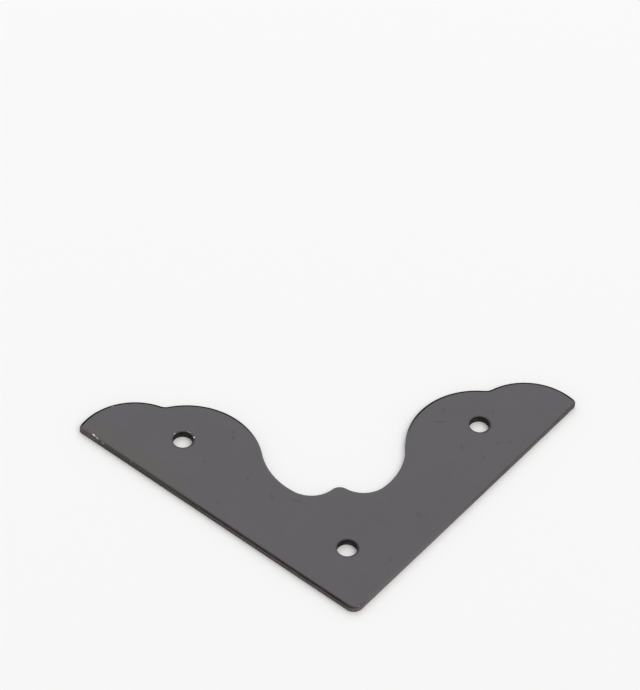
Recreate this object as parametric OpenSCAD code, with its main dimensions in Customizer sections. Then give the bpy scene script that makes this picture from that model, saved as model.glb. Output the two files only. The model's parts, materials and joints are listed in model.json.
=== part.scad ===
// Corner plate: a flat square-cornered plate of painted sheet steel, with a scalloped inner edge and
// three screw holes. It lies on its back, show face up, with the square corner towards -Y, and is
// the same on both sides of x = 0. The press rolls the edges of the show face over as it cuts them.

/* [Plate] */
// Length of each straight edge, from the square corner to the end of the arm
leg = 76.2; // [72:0.1:110]
// Thickness of the sheet
sheet_t = 1.6; // [1:0.1:3]
// Radius that rounds the square corner
corner_r = 2.2; // [0.8:0.1:6]
// Radius that blunts the end of each arm
tip_r = 0.8; // [0.7:0.1:2]

/* [Lobes of the scalloped edge] */
// Radius of the lobe at the end of each arm
end_lobe_r = 13.45; // [10:0.05:16]
// Distance from the straight edge to the centre of the end lobe
end_lobe_inset = 3.2; // [1:0.1:6]
// Radius of the shoulder lobe beside it
shoulder_r = 16.2; // [12:0.1:20]
// Width of the arm across the shoulder lobe
shoulder_w = 24; // [21:0.1:27]
// Distance between the centres of the two lobes, measured along the arm
lobe_pitch = 10.75; // [8:0.05:13]
// Radius of the soft valley between the two lobes
valley_r = 2.6; // [1:0.1:6]

/* [Bay of the scalloped edge] */
// Width of the web, from the square corner to the point of the nose
web_w = 33.45; // [28:0.05:36]
// Radius of the two scoops beside the nose
scoop_r = 6.5; // [5:0.05:8]
// Distance between the centres of the two scoops
scoop_pitch = 11.1; // [8:0.1:13]
// Radius that blunts the nose
nose_r = 2.3; // [0.8:0.1:3]

/* [Screw holes] */
// Diameter of the holes
hole_d = 4.3; // [3:0.1:6]
// Distance from the corner hole to each straight edge
corner_hole_inset = 11.75; // [8:0.05:16]
// Distance from an arm hole to the straight edge
arm_hole_inset = 11.85; // [8:0.05:16]
// Distance from an arm hole to the end of the arm
arm_hole_end = 19.15; // [14:0.05:26]

/* [Punched edges] */
// Width of the rolled edge round the outline, on the show face
roll_w = 0.5; // [0.3:0.05:0.6]
// Depth of that rolled edge at the wall
roll_h = 0.3; // [0.2:0.05:0.3]
// Width of the tighter rolled edge round a screw hole
hole_roll_w = 0.2; // [0.1:0.05:0.4]
// Depth of that rolled edge at the wall of the hole
hole_roll_h = 0.12; // [0.08:0.02:0.2]
// Size of the broken edge round the back
back_break = 0.1; // [0.05:0.05:0.3]

/* [Hidden] */
$fn = 96;
cut = 1; // how far a cutter runs past the sheet
far = 2 * leg; // a length that is sure to reach past the plate
bite = 0.02; // how far a small arc stands past its neighbours, so that their walls cross
roll_ease = 1.15; // radius of the roll over that of an arc tangent to the show face

// A point by its distance along the right-hand straight edge and its distance in from that edge
function on_arm(along, inset) = [along - inset, along + inset] / sqrt(2);
// The point at distance rp from p and rq from q, to the left of the way from p to q
function apex(p, rp, q, rq) =
    let (gap = norm(q - p), way = (q - p) / gap, foot = (gap * gap + rp * rp - rq * rq) / (2 * gap))
    p + foot * way + sqrt(rp * rp - foot * foot) * [-way[1], way[0]];
// The length of the other short side of a right-angled triangle
function leg_of(long_side, short_side) = sqrt(long_side * long_side - short_side * short_side);
function bearing(p, q) = atan2(q[1] - p[1], q[0] - p[0]);
function flip(p) = [-p[0], p[1]];

// The edge is one chain of arcs, each tangent to the next: these are their centres on the right
corner = on_arm(corner_r - bite, corner_r - bite);
end_lobe_along = leg - leg_of(end_lobe_r, end_lobe_inset);
end_lobe = on_arm(end_lobe_along, end_lobe_inset);
tip_inset = tip_r - bite;
tip_along = end_lobe_along + leg_of(end_lobe_r - tip_inset, end_lobe_inset - tip_inset);
tip = on_arm(tip_along, tip_inset);
shoulder = on_arm(end_lobe_along - lobe_pitch, shoulder_w - shoulder_r);
valley = apex(shoulder, shoulder_r + valley_r - bite, end_lobe, end_lobe_r + valley_r - bite);
nose = [0, web_w - nose_r];
scoop = nose + [scoop_pitch / 2, leg_of(scoop_r + nose_r - bite, scoop_pitch / 2)];

// The bay is centred on x = 0, at the height where one radius meets both a shoulder and a scoop
rise = shoulder[1] - scoop[1];
reach = shoulder_r + scoop_r - 2 * bite;
spread = pow(shoulder[0], 2) + rise * rise - pow(scoop[0], 2) - reach * reach;
root = sqrt(spread * spread + pow(2 * scoop[0], 2) * (rise * rise - reach * reach));
bay_lift = (spread * spread - pow(2 * reach * scoop[0], 2)) / (2 * (spread * rise + reach * root));
bay = [0, scoop[1] + bay_lift];
bay_r = norm(shoulder - bay) - shoulder_r + bite;

corner_hole = on_arm(corner_hole_inset, corner_hole_inset);
arm_hole = on_arm(leg - arm_hole_end, arm_hole_inset);
outline_roll = [roll_w, roll_h];
hole_roll = [hole_roll_w, hole_roll_h];
front = corner[1] - corner_r;
back = max(end_lobe[1] + end_lobe_r, shoulder[1] + shoulder_r);

// What is missing beside a wall at x = 0 with the sheet to its left: the roll-over and the back break
module edge_loss(roll) {
    roll_r = roll_ease * roll * roll / (2 * roll[1]);
    difference() {
        translate([-roll[0], sheet_t - roll[1]]) square(roll + [cut, cut]);
        translate(apex([0, sheet_t - roll[1]], roll_r, [-roll[0], sheet_t], roll_r)) circle(roll_r);
    }
    polygon([[-back_break - cut, -cut], [cut, -cut], [cut, back_break + cut]]);
}

// Section of the sheet, from x = 0 to a wall at x = wall
module sheet_section(wall) {
    difference() {
        square([wall, sheet_t]);
        translate([wall, 0]) edge_loss(outline_roll);
    }
}

// Section of a cutter that leaves a wall at x = wall, with the sheet outside it
module cutter_section(wall, roll = outline_roll) {
    translate([0, -cut]) square([wall, sheet_t + 2 * cut]);
    translate([wall, 0]) mirror([1, 0]) edge_loss(roll);
}

module lobe(centre, radius) {
    translate(centre) rotate_extrude() sheet_section(radius);
}

module round_cutter(centre, radius) {
    translate(centre) rotate_extrude() cutter_section(radius);
}

module straight_cutter() {
    translate([0, 0, -cut]) linear_extrude(sheet_t + 2 * cut) children();
}

module both_sides() {
    children();
    mirror([1, 0, 0]) children();
}

// The sheet with its four lobes. It runs on past the straight edges
module lobed_sheet() {
    arm = [on_arm(end_lobe_along, -leg), end_lobe, valley, shoulder];
    linear_extrude(sheet_t)
        polygon(concat([[0, -leg]], arm, [bay], [for (i = [len(arm) - 1:-1:0]) flip(arm[i])]));
    both_sides() {
        lobe(end_lobe, end_lobe_r);
        lobe(shoulder, shoulder_r);
    }
}

module straight_edge_cutter() {
    translate(on_arm(-far, -far)) rotate([90, 0, 135]) linear_extrude(3 * far) cutter_section(far);
}

module bay_cutter() {
    start = bearing(bay, scoop);
    translate(bay) rotate_extrude(start = start, angle = 180 - 2 * start) cutter_section(bay_r);
    both_sides() round_cutter(scoop, scoop_r);
    straight_cutter() polygon([nose, scoop, bay + [0, bay_r / 2], flip(scoop)]);
}

module corner_cutter() {
    straight_cutter() translate(corner) rotate(225) square(2 * corner_r);
}

module tip_cutter() {
    beyond = tip + (tip - end_lobe) / 4;
    straight_cutter()
        polygon([tip, on_arm(tip_along, -tip_r), on_arm(leg + tip_r, -tip_r), beyond]);
}

module screw_hole(place) {
    translate(place) rotate_extrude() cutter_section(hole_d / 2, hole_roll);
}

module corner_plate() {
    color("dimgray") translate([0, -(front + back) / 2, 0]) {
        difference() {
            lobed_sheet();
            bay_cutter();
            corner_cutter();
            screw_hole(corner_hole);
            both_sides() {
                straight_edge_cutter();
                tip_cutter();
                round_cutter(valley, valley_r);
                screw_hole(arm_hole);
            }
        }
        lobe(corner, corner_r);
        lobe(nose, nose_r);
        both_sides() lobe(tip, tip_r);
    }
}

corner_plate();
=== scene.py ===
import json
import math

import bmesh
import bpy
from mathutils import Euler, Matrix, Vector


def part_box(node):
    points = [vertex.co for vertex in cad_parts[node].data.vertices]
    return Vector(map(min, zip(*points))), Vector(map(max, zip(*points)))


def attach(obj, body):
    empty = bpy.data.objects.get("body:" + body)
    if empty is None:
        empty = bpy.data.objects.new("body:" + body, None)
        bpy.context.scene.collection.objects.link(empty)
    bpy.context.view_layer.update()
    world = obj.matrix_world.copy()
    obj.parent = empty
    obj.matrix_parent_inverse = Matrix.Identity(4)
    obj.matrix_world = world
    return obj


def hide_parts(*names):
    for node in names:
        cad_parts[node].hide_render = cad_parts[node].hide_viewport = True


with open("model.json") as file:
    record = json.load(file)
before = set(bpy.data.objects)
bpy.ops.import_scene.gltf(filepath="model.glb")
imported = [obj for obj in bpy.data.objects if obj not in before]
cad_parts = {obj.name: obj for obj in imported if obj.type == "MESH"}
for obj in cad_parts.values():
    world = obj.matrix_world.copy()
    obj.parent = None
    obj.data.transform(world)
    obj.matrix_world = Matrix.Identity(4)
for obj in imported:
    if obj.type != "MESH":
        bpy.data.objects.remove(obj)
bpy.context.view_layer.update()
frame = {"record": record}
plateLow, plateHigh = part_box("corner_plate")
scene = bpy.context.scene
mm = 0.001
print("frame loaded, the plate is", [round((b - a) / mm, 2) for a, b in zip(plateLow, plateHigh)], "mm")

# the camera

view = {
    "aim": (0.00018, 0.04501, 0.0),  # the point of the floor that it looks at
    "distance": 0.7439,
    "elevation": 47.237,
    "azimuth": 7.728,  # the camera looks a little to the right of +Y
    "roll": 2.879,
    "lens": 176.433,
    "sensor": 36.0,
    "clipStart": 0.01,
}


def makeCamera():
    data = bpy.data.cameras.new("camera")
    data.lens = view["lens"]
    data.sensor_width = view["sensor"]
    data.clip_start = view["clipStart"]
    camera = bpy.data.objects.new("camera", data)
    tilt = math.radians(90 - view["elevation"])
    turn = Euler((tilt, 0, math.radians(-view["azimuth"])), "XYZ").to_matrix()
    turn = turn @ Matrix.Rotation(math.radians(view["roll"]), 3, "Z")
    away = turn @ Vector((0, 0, view["distance"]))
    camera.matrix_world = Matrix.Translation(Vector(view["aim"]) + away) @ turn.to_4x4()
    scene.collection.objects.link(camera)
    scene.camera = camera


makeCamera()
print("camera made")

# small helpers for shader nodes


def addNode(tree, kind, values=None, **settings):  # a value that is a socket is linked, any other is set
    node = tree.nodes.new(kind)
    for name, value in settings.items():
        setattr(node, name, value)
    for socket, value in (values or {}).items():
        if isinstance(value, bpy.types.NodeSocket):
            tree.links.new(value, node.inputs[socket])
        else:
            node.inputs[socket].default_value = value
    return node


def sums(tree, operation, a, b=0.0):
    return addNode(tree, "ShaderNodeMath", {0: a, 1: b}, operation=operation).outputs[0]


def ramp(tree, value, low, high, atLow=0.0, atHigh=1.0):  # eases from one value to another
    values = {"Value": value, "From Min": low, "From Max": high, "To Min": atLow, "To Max": atHigh}
    return addNode(tree, "ShaderNodeMapRange", values, interpolation_type="SMOOTHSTEP").outputs[0]


def fade(tree, value, low, high, atLow=0.0, atHigh=1.0):  # the same, between two lengths in millimetres
    return ramp(tree, value, low * mm, high * mm, atLow, atHigh)


def blend(tree, amount, a, b):
    return addNode(tree, "ShaderNodeMix", {0: amount, 2: a, 3: b}).outputs[0]


def blendColours(tree, amount, a, b):
    return addNode(tree, "ShaderNodeMix", {0: amount, 6: a, 7: b}, data_type="RGBA").outputs[2]


def noise(tree, position, size, detail, roughness=0.5):  # size of a blotch in millimetres
    values = {"Vector": position, "Scale": 1 / (size * mm), "Detail": detail, "Roughness": roughness}
    return addNode(tree, "ShaderNodeTexNoise", values).outputs["Fac"]


def newGroup(name, inputs, outputs):
    group = bpy.data.node_groups.new(name, "ShaderNodeTree")
    for socket, kind, value in inputs:
        made = group.interface.new_socket(socket, in_out="INPUT", socket_type="NodeSocket" + kind)
        if value is not None:
            made.default_value = value
    for socket in outputs:
        group.interface.new_socket(socket, in_out="OUTPUT", socket_type="NodeSocketFloat")
    return group, group.nodes.new("NodeGroupInput"), group.nodes.new("NodeGroupOutput")


def useGroup(tree, group, values):
    return addNode(tree, "ShaderNodeGroup", values, node_tree=group).outputs


# effects that both paints use

coat = {  # texture of sprayed paint: sizes in millimetres, and their shares of the height
    "peel": 0.45,
    "fine": 0.12,
    "fineShare": 0.35,
    "nib": 0.7,
    "nibRarity": (0.74, 0.80),
    "nibShare": 1.2,
    "mottle": 1.6,
    "cloud": 14,
    "bump": 0.10,
    "bumpDepth": 0.02,
    "spotGrain": 0.25,  # of a spot's ragged edge
}


def makeSpot():  # a soft-edged oval mark at a place on the sheet
    inputs = [("Position", "Vector", None), ("Centre", "Vector", (0, 0, 0)), ("Size", "Vector", (1, 1, 1)),
              ("Turn", "Float", 0.0), ("Softness", "Float", 1.0), ("Ragged", "Float", 0.0)]
    group, given, out = newGroup("spot", inputs, ["Mask"])
    given = given.outputs
    offset = addNode(group, "ShaderNodeVectorMath", {0: given["Position"], 1: given["Centre"]},
                     operation="SUBTRACT").outputs[0]
    turned = addNode(group, "ShaderNodeVectorRotate", {"Vector": offset, "Angle": given["Turn"]},
                     rotation_type="Z_AXIS").outputs[0]
    scaled = addNode(group, "ShaderNodeVectorMath", {0: turned, 1: given["Size"]},
                     operation="DIVIDE").outputs[0]
    reach = addNode(group, "ShaderNodeVectorMath", {0: scaled}, operation="LENGTH").outputs["Value"]
    wander = sums(group, "SUBTRACT", noise(group, given["Position"], coat["spotGrain"], 3.0), 0.5)
    reach = sums(group, "ADD", reach, sums(group, "MULTIPLY", wander, given["Ragged"]))
    mask = ramp(group, reach, 1.0, sums(group, "ADD", given["Softness"], 1.0), 1.0, 0.0)
    group.links.new(mask, out.inputs["Mask"])
    return group


def makeSkin():  # sprayed paint: fine orange peel, dust nibs and a slow change of gloss
    group, given, out = newGroup("paintSkin", [("Position", "Vector", None)], ["Height", "Mottle", "Cloud"])
    position = given.outputs["Position"]
    peel = noise(group, position, coat["peel"], 2.0)
    fine = noise(group, position, coat["fine"], 1.0)
    nibs = ramp(group, noise(group, position, coat["nib"], 1.0), *coat["nibRarity"])
    height = sums(group, "ADD", peel, sums(group, "MULTIPLY", fine, coat["fineShare"]))
    height = sums(group, "ADD", height, sums(group, "MULTIPLY", nibs, coat["nibShare"]))
    group.links.new(height, out.inputs["Height"])
    group.links.new(noise(group, position, coat["mottle"], 4.0, 0.6), out.inputs["Mottle"])
    group.links.new(noise(group, position, coat["cloud"], 2.0), out.inputs["Cloud"])
    return group


spot = makeSpot()
skin = makeSkin()

# the plate, in millimetres until it is done

plate = {
    "leg": 76.2,
    "cornerR": 2.2,
    "tipR": 0.8,
    "endLobeR": 13.45,
    "endLobeInset": 3.2,
    "shoulderR": 16.2,
    "shoulderW": 24.0,
    "lobePitch": 10.75,
    "valleyR": 2.6,
    "webW": 33.45,
    "scoopR": 6.5,
    "scoopPitch": 11.1,
    "noseR": 2.3,
    "cornerHoleInset": 11.75,
    "roll": (0.6, 0.3),  # width and depth of the rolled edge
    "holeRoll": (0.2, 0.12),
    "backBreak": 0.1,
    "rollSteps": 8,
    "chord": 0.45,  # length of a step along the outline
    "holeSteps": 72,
    "mergeGap": 0.001,
    "flatNormal": 0.9999,  # a face that points this far up or down is flat
    "crease": 30,  # degrees between faces, past which the edge is sharp
}
thickness = (plateHigh.z - plateLow.z) / mm
holes = [mount for mount in frame["record"]["mounts"] if mount["kind"] == "bore"]
holePlaces = {hole["name"]: Vector(hole["pos_m"][:2]) / mm for hole in holes}
holeR = holes[0]["dims"]["r_mm"]
squareCorner = Vector((0, holePlaces["corner_hole"].y - plate["cornerHoleInset"] * math.sqrt(2)))


def onArm(along, inset):  # a point by its distance along the right straight edge, and in from it
    return squareCorner + Vector((along - inset, along + inset)) / math.sqrt(2)


def apex(p, rp, q, rq):  # the point rp from p and rq from q, left of the way from p to q
    gap = (q - p).length
    way = (q - p) / gap
    foot = (gap * gap + rp * rp - rq * rq) / (2 * gap)
    return p + way * foot + Vector((-way.y, way.x)) * math.sqrt(rp * rp - foot * foot)


def bearing(p, q):
    return math.atan2(q.y - p.y, q.x - p.x)


def section(wallTop, roll):  # the punched edge: distance in from the wall, and height
    points = [(plate["backBreak"], 0.0), (0.0, plate["backBreak"]), (0.0, wallTop / 2)]
    for step in range(plate["rollSteps"] + 1):
        angle = math.pi / 2 * step / plate["rollSteps"]
        points.append((roll[0] * (1 - math.cos(angle)), wallTop + roll[1] * math.sin(angle)))
    return points


def addSection(bm, points, start, inward):
    corners = [bm.verts.new((start.x + inward.x * depth, start.y + inward.y * depth, height))
               for depth, height in points]
    return corners + [bm.edges.new(pair) for pair in zip(corners, corners[1:])]


def swing(bm, edge, centre, radius, start, end, outward=True):  # carries the section round a centre
    full = 2 * math.pi
    angle = (end - start) % full if outward else -((start - end) % full)
    steps = max(3, math.ceil(abs(angle) * radius / plate["chord"]))
    done = bmesh.ops.spin(bm, geom=edge, cent=(centre.x, centre.y, 0), axis=(0, 0, 1), dvec=(0, 0, 0),
                          angle=angle, steps=steps, use_merge=False, use_duplicate=False)
    return done["geom_last"]


def slide(bm, edge, way):  # carries the section straight on
    edges = [e for e in edge if isinstance(e, bmesh.types.BMEdge)]
    made = bmesh.ops.extrude_edge_only(bm, edges=edges)["geom"]
    moved = [v for v in made if isinstance(v, bmesh.types.BMVert)]
    bmesh.ops.translate(bm, vec=(way.x, way.y, 0), verts=moved)
    ends = set(moved)
    return moved + [e for e in made if isinstance(e, bmesh.types.BMEdge) and set(e.verts) <= ends]


def makeOutline(bm):  # the right half, from the square corner to the nose, then its mirror image
    p = plate
    endLobeAlong = p["leg"] - math.sqrt(p["endLobeR"] ** 2 - p["endLobeInset"] ** 2)
    tipGap, tipDrop = p["endLobeR"] - p["tipR"], p["endLobeInset"] - p["tipR"]
    tipAlong = endLobeAlong + math.sqrt(tipGap ** 2 - tipDrop ** 2)
    corner = onArm(p["cornerR"], p["cornerR"])
    tip = onArm(tipAlong, p["tipR"])
    endLobe = onArm(endLobeAlong, p["endLobeInset"])
    shoulder = onArm(endLobeAlong - p["lobePitch"], p["shoulderW"] - p["shoulderR"])
    valley = apex(shoulder, p["shoulderR"] + p["valleyR"], endLobe, p["endLobeR"] + p["valleyR"])
    nose = squareCorner + Vector((0, p["webW"] - p["noseR"]))
    side = p["scoopPitch"] / 2
    scoop = nose + Vector((side, math.sqrt((p["scoopR"] + p["noseR"]) ** 2 - side ** 2)))

    # the wide bay between the arms is centred where one radius meets both a shoulder and a scoop
    rise = shoulder.y - scoop.y
    reach = p["shoulderR"] + p["scoopR"]
    spread = shoulder.x ** 2 + rise ** 2 - scoop.x ** 2 - reach ** 2
    root = math.sqrt(spread ** 2 + (2 * scoop.x) ** 2 * (rise ** 2 - reach ** 2))
    lift = (spread ** 2 - (2 * reach * scoop.x) ** 2) / (2 * (spread * rise + reach * root))
    bay = Vector((0, scoop.y + lift))
    bayR = (shoulder - bay).length - p["shoulderR"]

    down, up, armOut = -math.pi / 2, math.pi / 2, -math.pi / 4
    front = corner - Vector((0, p["cornerR"]))
    edge = addSection(bm, section(thickness - p["roll"][1], p["roll"]), front, Vector((0, 1)))
    edge = swing(bm, edge, corner, p["cornerR"], down, armOut)
    edge = slide(bm, edge, onArm(tipAlong, 0) - onArm(p["cornerR"], 0))
    edge = swing(bm, edge, tip, p["tipR"], armOut, bearing(endLobe, tip))
    edge = swing(bm, edge, endLobe, p["endLobeR"], bearing(endLobe, tip), bearing(endLobe, valley))
    edge = swing(bm, edge, valley, p["valleyR"], bearing(valley, endLobe), bearing(valley, shoulder), False)
    edge = swing(bm, edge, shoulder, p["shoulderR"], bearing(shoulder, valley), bearing(shoulder, bay))
    edge = swing(bm, edge, bay, bayR, bearing(bay, shoulder), bearing(bay, scoop), False)
    edge = swing(bm, edge, scoop, p["scoopR"], bearing(bay, scoop), bearing(scoop, nose), False)
    swing(bm, edge, nose, p["noseR"], bearing(nose, scoop), up)
    bmesh.ops.mirror(bm, geom=bm.verts[:] + bm.edges[:] + bm.faces[:], matrix=Matrix.Identity(4),
                     merge_dist=p["mergeGap"], axis="X")


def makeHoles(bm):
    bore = section(thickness - plate["holeRoll"][1], plate["holeRoll"])
    for place in holePlaces.values():
        edge = addSection(bm, bore, place + Vector((holeR, 0)), Vector((1, 0)))
        bmesh.ops.spin(bm, geom=edge, cent=(place.x, place.y, 0), axis=(0, 0, 1), dvec=(0, 0, 0),
                       angle=2 * math.pi, steps=plate["holeSteps"], use_merge=True)


def makePlate():
    gap = plate["mergeGap"]
    bm = bmesh.new()
    makeOutline(bm)
    makeHoles(bm)
    bmesh.ops.remove_doubles(bm, verts=bm.verts, dist=gap)
    for height in (0.0, thickness):  # the back and the show face, each with its three holes
        rims = [e for e in bm.edges if e.is_boundary and all(abs(v.co.z - height) < gap for v in e.verts)]
        bmesh.ops.triangle_fill(bm, edges=rims, use_beauty=True, use_dissolve=False)
    bmesh.ops.recalc_face_normals(bm, faces=bm.faces)
    for vert in bm.verts:
        vert.co.y = min(vert.co.y, plateHigh.y / mm)  # keeps the lobes inside the solid's box
    for face in bm.faces:
        face.smooth = abs(face.normal.z) < plate["flatNormal"]
        face.material_index = int(face.smooth)  # the face paint, or the edge paint
    for line in bm.edges:
        kinds = {face.smooth for face in line.link_faces}
        line.smooth = len(kinds) == 1 and line.calc_face_angle(0) < math.radians(plate["crease"])
    openEdges = [e for e in bm.edges if not e.is_manifold]
    bmesh.ops.scale(bm, vec=(mm, mm, mm), verts=bm.verts)
    mesh = bpy.data.meshes.new("cornerPlate")
    bm.to_mesh(mesh)
    bm.free()
    piece = bpy.data.objects.new("cornerPlate", mesh)
    scene.collection.objects.link(piece)
    print("plate modelled:", len(mesh.polygons), "faces,", len(openEdges), "open edges")
    return piece


cornerPlate = makePlate()
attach(cornerPlate, "root")
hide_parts("corner_plate")

# the paint: places and sizes in millimetres, turns in degrees

paint = {
    "face": (0.085, 0.0785, 0.086, 1),
    "cloudy": (0.081, 0.0755, 0.081, 1),
    "clouds": (0.35, 0.7),
    "mottle": (0.3, 0.7),
    "roughness": (0.39, 0.47),  # where the mottle is low, and where it is high
    "specular": 0.35,
    "steel": (0.62, 0.61, 0.60, 1),
    "warm": (0.086, 0.077, 0.076, 1),  # along the edge towards the left tip
    "warmPatch": [((-44.0, 15.6), (26.0, 3.4), -45, 1.0)],
    "warmEdge": (0.9, 0.2),  # how soft and how ragged its outline is, as for the marks below
    "ring": {"reach": 0.33, "shift": 0.1, "strength": 0.85},  # painted shade: a dark ring round each screw hole, set a little to the right
    "ringEdge": (0.04, 0.15),
    "mark": (0.030, 0.028, 0.030, 1),
    "markStrength": 0.35,
    "markDulls": 0.12,
    "smudgeEdge": (1.2, 0.5),
    "smudges": [  # place, size, turn, strength
        ((-21.05, 19.58), (0.45, 0.7), 20, 0.6),
        ((-21.19, 17.9), (0.35, 0.8), 5, 0.7),
        ((-19.16, 6.2), (0.5, 0.5), 0, 0.7),
        ((-27.7, 11.6), (0.5, 0.5), 0, 0.4),
        ((-25.8, 0.3), (0.6, 0.6), 0, 0.4),
        ((-14.3, 0.9), (0.6, 1.2), 10, 0.45),
        ((-9.6, -0.3), (2.2, 0.3), -35, 0.5),
        ((15.8, -6.1), (0.8, 0.8), 0, 0.45),
        ((8.6, -17.8), (0.7, 0.8), 0, 0.5),
        ((27.4, 12.0), (0.3, 0.9), 0, 0.8),
        ((31.5, 8.6), (0.7, 0.7), 0, 0.35),
        ((23.6, 19.4), (1.4, 0.35), 0, 0.6),
        ((24.7, 22.8), (0.4, 0.8), 0, 0.6),
        ((35.4, 21.5), (0.35, 0.5), 0, 0.7),
        ((35.3, 12.6), (0.6, 0.6), 0, 0.4),
        ((37.9, 12.7), (0.7, 0.6), 0, 0.4),
    ],
    "chipEdge": (0.25, 1.1),
    "chips": [  # bare steel on the rolled edge
        ((-50.78, 20.72), (0.75, 0.24), -54, 1.0),
        ((-50.1, 19.78), (0.7, 0.2), -54, 0.9),
        ((-49.0, 18.5), (0.8, 0.10), -50, 0.45),
        ((-43.3, 12.9), (0.16, 0.12), 0, 0.9),
        ((-46.4, 28.6), (0.5, 0.14), 15, 0.5),
        ((0.8, -29.4), (0.5, 0.1), 20, 0.4),
        ((-29.5, 18.6), (0.32, 0.30), 0, 0.9),
        ((-30.4, 20.1), (0.9, 0.14), -35, 0.35),
        ((-33.6, 19.9), (0.5, 0.16), 45, 0.6),
    ],
}
edgePaint = {
    "paintedSheenBesideFace": (0.118, 0.112, 0.118, 1),  # painted sheen: the dull edge starts as light as the glossy face looks with its sheen
    # painted shade: the roll along the scalloped edge, which turns away from the camera, is coloured near
    # black
    "farRollPaintedShade": (0.005, 0.005, 0.005, 1),
    "farWall": (0.045, 0.040, 0.036, 1),
    # painted sheen: the roll in the bay is coloured as light as the glossy face looks
    "bayRollPaintedSheen": (0.125, 0.120, 0.123, 1),
    "hole": (0.020, 0.017, 0.017, 1),
    "holePale": (0.060, 0.050, 0.049, 1),
    "speck": (0.22, 0.21, 0.19, 1),
    "band": (0.050, 0.042, 0.040, 1),
    "pit": (0.020, 0.017, 0.016, 1),
    "roughness": 0.8,
    "bareRoughness": 0.3,
    "specular": 0.1,
    "cutMarks": 0.5,
    "cutDepth": 0.06,
    # depths below the show face, between which a zone fades in or out
    "faceFade": (0.002, 0.05, 1.0, 0.0),
    "farFaceFade": (0.0003, 0.005, 1.0, 0.0),
    "line": (0.07, 0.16),
    "wall": (0.36, 0.52),
    "foot": (1.15, 1.40),
    "bareDepth": (0.5, 0.7, 1.0, 0.0),
    "litDepth": (0.10, 0.14, 1.0, 0.0),
    # places across and along the plate, and the share of the effect at each
    "straightReach": (0.8, 1.2, 1.0, 0.0),  # in from the straight edges, times the root of 2
    "bayAcross": (21, 24, 1.0, 0.0),
    "bayAlong": (15, 25, 1.0, 0.0),
    "wornLeft": (-3, 2, 0.5, 0.0),
    "wornRight": (14, 36, 0.0, 0.45),
    "footAcross": (-3, 3, 0.5, 0.0),
    "speckAcross": (2, 8, 0.0, 0.5),
    # sizes of the streaks, specks and pits, and how much of the surface they take
    "streak": 0.3,
    "streakStretch": 0.12,
    "streakWander": 0.3,
    "bands": (0.42, 0.60),
    "scuffs": (0.40, 0.62),
    "speckSize": 0.22,
    "specks": (0.60, 0.68),
    "pitSize": 0.3,
    "pits": (0.56, 0.66),
    # the screw holes: their paint, the painted highlight on the left side of each roll, and the right side
    # that keeps the dark hole colour
    "holeSpot": {"reach": 0.3},
    "holeEdge": (0.05, 0.0),
    "darkSpot": {"reach": 0.12, "shift": 0.1},
    "darkEdge": (0.03, 0.0),
    # the straight edges, by place across the plate: the roll, the line where it meets the wall, the wall;
    # over the paint's own brown and olive tones, painted shade on the left leg (a near-black line) and
    # painted light on the right leg
    "rollAlong": [
        (-54, (0.118, 0.101, 0.099, 1)),
        (-51, (0.112, 0.094, 0.090, 1)),
        (-48, (0.074, 0.067, 0.056, 1)),
        (-38, (0.069, 0.064, 0.053, 1)),
        (-28, (0.056, 0.048, 0.046, 1)),
        (-2, (0.047, 0.039, 0.039, 1)),
        (3, (0.129, 0.125, 0.125, 1)),
        (20, (0.127, 0.123, 0.127, 1)),
        (32, (0.128, 0.124, 0.124, 1)),
        (54, (0.115, 0.113, 0.109, 1)),
    ],
    "lineAlong": [
        (-54, (0.131, 0.110, 0.106, 1)),
        (-51, (0.112, 0.095, 0.090, 1)),
        (-48, (0.083, 0.075, 0.062, 1)),
        (-38, (0.077, 0.071, 0.059, 1)),
        (-28, (0.033, 0.025, 0.026, 1)),
        (-2, (0.019, 0.014, 0.015, 1)),
        (3, (0.134, 0.130, 0.128, 1)),
        (20, (0.128, 0.124, 0.124, 1)),
        (32, (0.101, 0.099, 0.094, 1)),
        (54, (0.081, 0.079, 0.074, 1)),
    ],
    "wallAlong": [
        (-54, (0.150, 0.125, 0.120, 1)),
        (-51, (0.132, 0.110, 0.104, 1)),
        (-48, (0.086, 0.078, 0.066, 1)),
        (-38, (0.089, 0.080, 0.068, 1)),
        (-28, (0.120, 0.101, 0.094, 1)),
        (-2, (0.144, 0.118, 0.112, 1)),
        (3, (0.162, 0.156, 0.149, 1)),
        (20, (0.162, 0.157, 0.154, 1)),
        (32, (0.150, 0.146, 0.139, 1)),
        (54, (0.132, 0.130, 0.123, 1)),
    ],
}


def startMaterial(name):
    made = bpy.data.materials.new(name)
    made.use_nodes = True
    tree = made.node_tree
    position = addNode(tree, "ShaderNodeTexCoord").outputs["Object"]
    texture = useGroup(tree, skin, {"Position": position})
    return made, tree, tree.nodes["Principled BSDF"], position, texture


def spotMask(tree, position, spots, softness, ragged):
    mask = 0.0
    for centre, size, turn, strength in spots:
        values = {"Position": position, "Centre": (centre[0] * mm, centre[1] * mm, 0),
                  "Size": (size[0] * mm / 2, size[1] * mm / 2, 1), "Turn": math.radians(-turn),
                  "Softness": softness, "Ragged": ragged}
        one = useGroup(tree, spot, values)["Mask"]
        mask = sums(tree, "MAXIMUM", sums(tree, "MULTIPLY", one, strength), mask)
    return mask


def onHoles(reach, shift=0.0, strength=1.0):  # a round spot on each screw hole, reaching past its wall
    wide = 2 * (holeR + reach)
    return [((place.x + shift, place.y), (wide, wide), 0, strength) for place in holePlaces.values()]


def coloursAlong(tree, across, stops):  # colours set out across the plate
    node = addNode(tree, "ShaderNodeValToRGB", {0: across})
    marks = node.color_ramp.elements
    first, last = stops[0], stops[-1]
    marks[0].color = first[1]
    marks[-1].color = last[1]
    for place, colour in stops[1:-1]:
        marks.new((place - first[0]) / (last[0] - first[0])).color = colour
    return node.outputs[0]


def peelBump(tree, texture):
    values = {"Strength": coat["bump"], "Distance": coat["bumpDepth"] * mm, "Height": texture["Height"]}
    return addNode(tree, "ShaderNodeBump", values).outputs[0]


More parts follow.
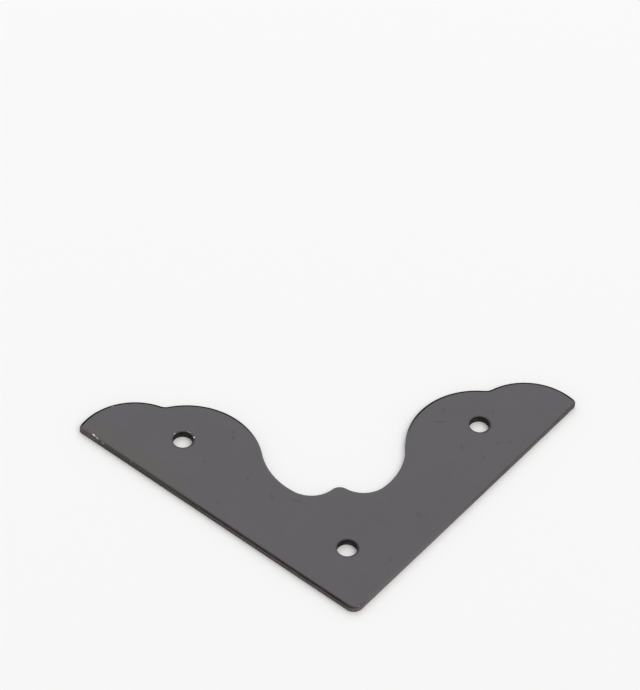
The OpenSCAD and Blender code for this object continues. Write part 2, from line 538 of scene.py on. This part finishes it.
def makeFacePaint():
    made, tree, shader, position, texture = startMaterial("facePaint")
    p = paint
    colour = blendColours(tree, ramp(tree, texture["Cloud"], *p["clouds"]), p["face"], p["cloudy"])
    patch = spotMask(tree, position, p["warmPatch"], *p["warmEdge"])
    colour = blendColours(tree, patch, colour, p["warm"])
    smudge = spotMask(tree, position, p["smudges"], *p["smudgeEdge"])
    colour = blendColours(tree, sums(tree, "MULTIPLY", smudge, p["markStrength"]), colour, p["mark"])
    # painted shade round each screw hole's rim, in the dark hole colour
    ring = spotMask(tree, position, onHoles(**p["ring"]), *p["ringEdge"])
    colour = blendColours(tree, ring, colour, edgePaint["hole"])
    bare = spotMask(tree, position, p["chips"], *p["chipEdge"])
    tree.links.new(blendColours(tree, bare, colour, p["steel"]), shader.inputs["Base Color"])
    tree.links.new(bare, shader.inputs["Metallic"])

    dull = ramp(tree, texture["Mottle"], *p["mottle"], *p["roughness"])
    dull = sums(tree, "ADD", dull, sums(tree, "MULTIPLY", smudge, p["markDulls"]))
    tree.links.new(dull, shader.inputs["Roughness"])
    shader.inputs["Specular IOR Level"].default_value = p["specular"]
    tree.links.new(peelBump(tree, texture), shader.inputs["Normal"])
    return made


def makeEdgePaint():  # duller, thinner paint over the roll and the punched wall, with painted light and shade laid into its colours
    made, tree, shader, position, texture = startMaterial("edgePaint")
    p = edgePaint
    parts = addNode(tree, "ShaderNodeSeparateXYZ", {0: position}).outputs
    x, y = parts["X"], parts["Y"]
    depth = sums(tree, "SUBTRACT", plateHigh.z, parts["Z"])
    aside = sums(tree, "ABSOLUTE", x)
    inset = sums(tree, "SUBTRACT", sums(tree, "SUBTRACT", y, squareCorner.y * mm), aside)
    straight = fade(tree, inset, *p["straightReach"])
    along = (p["streakStretch"], p["streakStretch"], 1)
    stretched = addNode(tree, "ShaderNodeMapping", {"Vector": position, "Scale": along}).outputs[0]
    streaks = noise(tree, stretched, p["streak"], 3.0, 0.6)
    wander = sums(tree, "MULTIPLY", sums(tree, "SUBTRACT", 0.5, streaks), p["streakWander"] * mm)
    uneven = sums(tree, "ADD", depth, wander)
    line = fade(tree, uneven, *p["line"])
    wall = fade(tree, uneven, *p["wall"])

    # the straight edges: painted shade on the left leg, painted light on the right leg, over the paint's
    # own tones
    width = p["rollAlong"][-1][0] - p["rollAlong"][0][0]
    across = sums(tree, "ADD", sums(tree, "MULTIPLY", x, 1 / (width * mm)), 0.5)
    front = coloursAlong(tree, across, p["rollAlong"])
    front = blendColours(tree, line, front, coloursAlong(tree, across, p["lineAlong"]))
    front = blendColours(tree, wall, front, coloursAlong(tree, across, p["wallAlong"]))
    specks = ramp(tree, noise(tree, position, p["speckSize"], 1.0), *p["specks"])
    specks = sums(tree, "MULTIPLY", specks, fade(tree, x, *p["speckAcross"]))
    front = blendColours(tree, sums(tree, "MULTIPLY", specks, wall), front, p["speck"])
    worn = sums(tree, "ADD", fade(tree, x, *p["wornLeft"]), fade(tree, x, *p["wornRight"]))
    worn = sums(tree, "MULTIPLY", worn, line)
    bands = sums(tree, "MULTIPLY", worn, ramp(tree, streaks, *p["bands"]))
    front = blendColours(tree, bands, front, p["band"])
    pits = ramp(tree, noise(tree, position, p["pitSize"], 2.0), *p["pits"])
    front = blendColours(tree, sums(tree, "MULTIPLY", pits, worn), front, p["pit"])
    foot = sums(tree, "MULTIPLY", fade(tree, uneven, *p["foot"]), fade(tree, x, *p["footAcross"]))
    front = blendColours(tree, foot, front, p["band"])

    # the scalloped edge, the bay and the screw holes
    # the bay, where the scalloped edge's roll gets the painted sheen colour
    bay = sums(tree, "MULTIPLY", fade(tree, aside, *p["bayAcross"]), fade(tree, y, *p["bayAlong"]))
    # painted shade: the scalloped edge's roll is near black, except in the bay, where it takes the painted
    # sheen colour
    back = blendColours(tree, bay, p["farRollPaintedShade"], p["bayRollPaintedSheen"])
    back = blendColours(tree, wall, back, p["farWall"])
    hole = spotMask(tree, position, onHoles(**p["holeSpot"]), *p["holeEdge"])
    dark = spotMask(tree, position, onHoles(**p["darkSpot"]), *p["darkEdge"])
    # painted highlight: the left side of each hole's roll, outside the dark spot, goes as light as the
    # glossy face
    lit = sums(tree, "MULTIPLY", hole, sums(tree, "SUBTRACT", 1.0, dark))
    lit = sums(tree, "MULTIPLY", lit, fade(tree, depth, *p["litDepth"]))
    scuffs = sums(tree, "MULTIPLY", wall, ramp(tree, streaks, *p["scuffs"]))
    back = blendColours(tree, hole, back, blendColours(tree, scuffs, p["hole"], p["holePale"]))

    colour = blendColours(tree, straight, back, front)
    inner = blend(tree, straight, fade(tree, depth, *p["farFaceFade"]), fade(tree, depth, *p["faceFade"]))
    # painted sheen where the roll meets the face, and the painted highlight on the holes' rolls
    colour = blendColours(tree, sums(tree, "MAXIMUM", inner, lit), colour, p["paintedSheenBesideFace"])
    bare = spotMask(tree, position, paint["chips"], *paint["chipEdge"])
    bare = sums(tree, "MULTIPLY", bare, fade(tree, depth, *p["bareDepth"]))
    tree.links.new(blendColours(tree, bare, colour, paint["steel"]), shader.inputs["Base Color"])
    tree.links.new(bare, shader.inputs["Metallic"])
    tree.links.new(blend(tree, bare, p["roughness"], p["bareRoughness"]), shader.inputs["Roughness"])
    shader.inputs["Specular IOR Level"].default_value = p["specular"]
    marks = {"Strength": p["cutMarks"], "Distance": p["cutDepth"] * mm, "Height": streaks}
    marks["Normal"] = peelBump(tree, texture)
    tree.links.new(addNode(tree, "ShaderNodeBump", marks).outputs[0], shader.inputs["Normal"])
    return made


cornerPlate.data.materials.append(makeFacePaint())
cornerPlate.data.materials.append(makeEdgePaint())
print("plate painted")

# floor and lamps

studio = {
    "floorSize": 6.0,
    "floorColour": (0.935, 0.935, 0.93, 1),
    "floorRoughness": 0.9,
    "floorSpecular": 0.1,
    "sky": (1.0, 1.038, 1.092, 1),
    "skyStrength": 0.47,
    "sun": 1.2,
    "sunColour": (1.0, 0.945, 0.885),
    "sunAngle": 55,
    "sunTilt": (28, 0, 40),
    "panelPower": 31.0,  # a soft panel behind the plate, which the paint mirrors
    "panelSize": (3.4, 2.4),
    "panelDistance": 3.0,
}


def makeFloor():
    bpy.ops.mesh.primitive_plane_add(size=studio["floorSize"])
    floor = bpy.context.object
    floor.name = "floor"
    made = bpy.data.materials.new("floorPaper")
    made.use_nodes = True
    shader = made.node_tree.nodes["Principled BSDF"]
    shader.inputs["Base Color"].default_value = studio["floorColour"]
    shader.inputs["Roughness"].default_value = studio["floorRoughness"]
    shader.inputs["Specular IOR Level"].default_value = studio["floorSpecular"]
    floor.data.materials.append(made)


def makeLamps():
    world = bpy.data.worlds.new("studio")
    world.use_nodes = True
    sky = world.node_tree.nodes["Background"]
    sky.inputs["Color"].default_value = studio["sky"]
    sky.inputs["Strength"].default_value = studio["skyStrength"]
    scene.world = world

    sun = bpy.data.lights.new("wideLamp", "SUN")
    sun.energy = studio["sun"]
    sun.color = studio["sunColour"]
    sun.angle = math.radians(studio["sunAngle"])
    sunObject = bpy.data.objects.new("wideLamp", sun)
    sunObject.rotation_euler = [math.radians(a) for a in studio["sunTilt"]]
    scene.collection.objects.link(sunObject)

    panel = bpy.data.lights.new("backPanel", "AREA")
    panel.shape = "RECTANGLE"
    panel.size, panel.size_y = studio["panelSize"]
    panel.energy = studio["panelPower"]
    panelObject = bpy.data.objects.new("backPanel", panel)
    around, above = math.radians(view["azimuth"]), math.radians(view["elevation"])
    way = Vector((math.sin(around) * math.cos(above), math.cos(around) * math.cos(above), math.sin(above)))
    panelObject.location = way * studio["panelDistance"]
    panelObject.rotation_euler = way.to_track_quat("Z", "Y").to_euler()
    scene.collection.objects.link(panelObject)


makeFloor()
makeLamps()
scene.view_settings.view_transform = "Standard"
print("studio lit")
